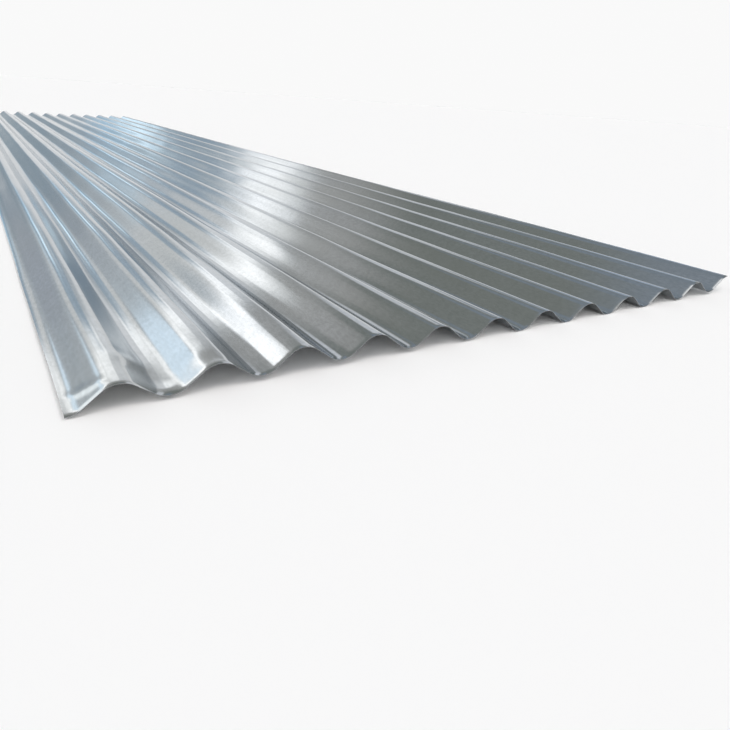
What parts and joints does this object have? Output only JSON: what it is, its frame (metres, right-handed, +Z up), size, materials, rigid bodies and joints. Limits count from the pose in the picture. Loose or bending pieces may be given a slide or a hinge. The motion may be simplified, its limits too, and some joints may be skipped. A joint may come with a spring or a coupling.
{
  "type": "corrugated roofing sheet",
  "caption": "Long sheet of zinc-coated steel rolled into round waves, one long edge turned down and the other up, laid in laps as roofing or cladding.",
  "frame": {"origin": "under the middle of the sheet, on the plane that the undersides of its troughs rest on", "axes": "+X across the waves, from the edge turned down to the edge turned up, +Y along the waves, +Z up"},
  "size_m": [0.874, 4, 0.019],
  "materials": {
    "galvanised_steel": "bright zinc coating with faint spangle and rolling streaks, lightly dulled"
  },
  "bodies": {
    "root": {"roofing_sheet": "galvanised_steel"}
  },
  "joints": []
}
